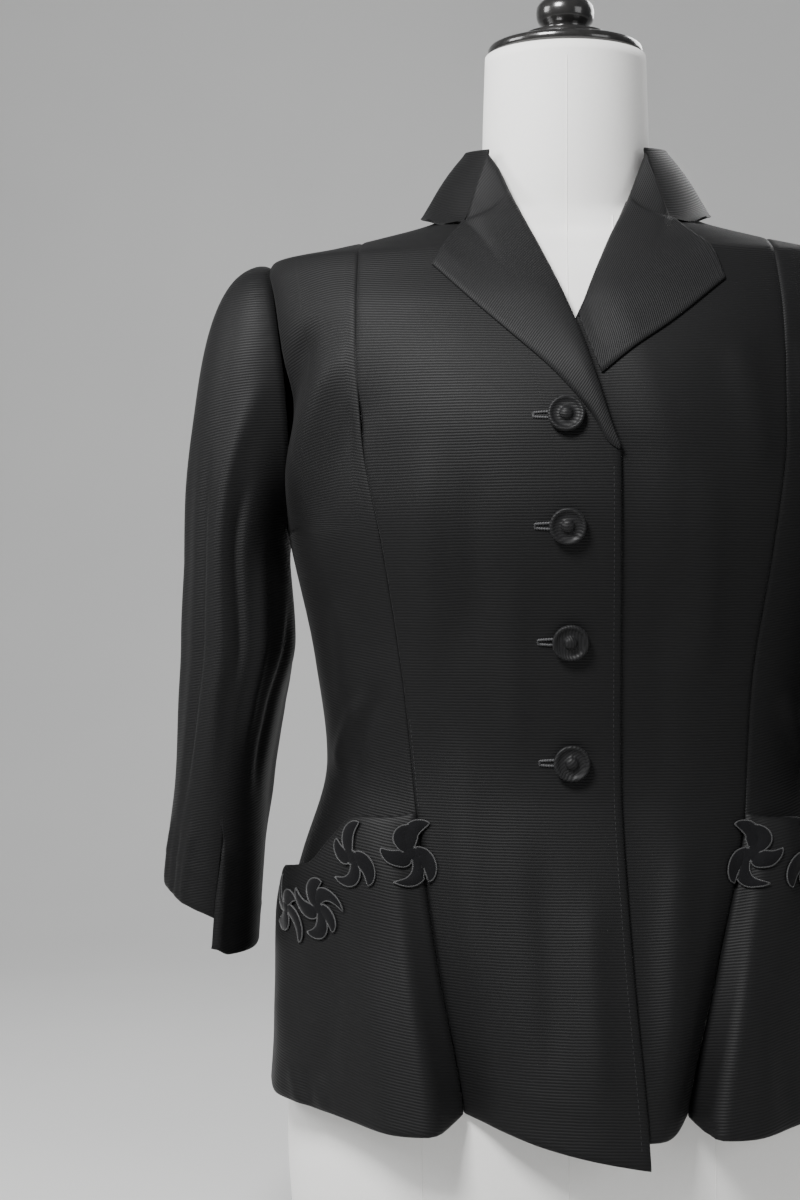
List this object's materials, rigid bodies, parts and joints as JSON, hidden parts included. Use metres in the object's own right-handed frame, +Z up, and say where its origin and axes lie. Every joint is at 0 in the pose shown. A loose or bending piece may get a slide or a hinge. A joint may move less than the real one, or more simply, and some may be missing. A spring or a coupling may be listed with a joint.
{
  "type": "blazer on a dress form",
  "caption": "Fitted black ribbed blazer with notched lapels, covered buttons, a flared peplum with velvet applique on hip pockets, and bracelet sleeves, on a limbless white dress form.",
  "frame": {"origin": "middle of the form's flat underside", "axes": "+Z up, -Y is the garment's front, -X is the wearer's right side"},
  "size_m": [0.5442, 0.3169, 0.9053],
  "materials": {
    "faille": "matte",
    "velvet": "matte",
    "canvas": "matte",
    "lacquer": "gloss"
  },
  "bodies": {
    "root": {"front_right_centre": "faille", "front_left_centre": "faille", "front_right_side": "faille", "front_left_side": "faille", "back_right_side": "faille", "back_left_side": "faille", "back_centre": "faille", "lapel_right": "faille", "lapel_left": "faille", "collar": "faille", "sleeve_right": "faille", "sleeve_left": "faille", "pocket_right": "faille", "pocket_left": "faille", "button_1": "faille", "button_2": "faille", "button_3": "faille", "button_4": "faille", "applique_right_1": "velvet", "applique_right_2": "velvet", "applique_right_3": "velvet", "applique_right_4": "velvet", "applique_left_1": "velvet", "applique_left_2": "velvet", "applique_left_3": "velvet", "applique_left_4": "velvet", "form_torso": "canvas", "form_cap": "lacquer"}
  },
  "joints": []
}
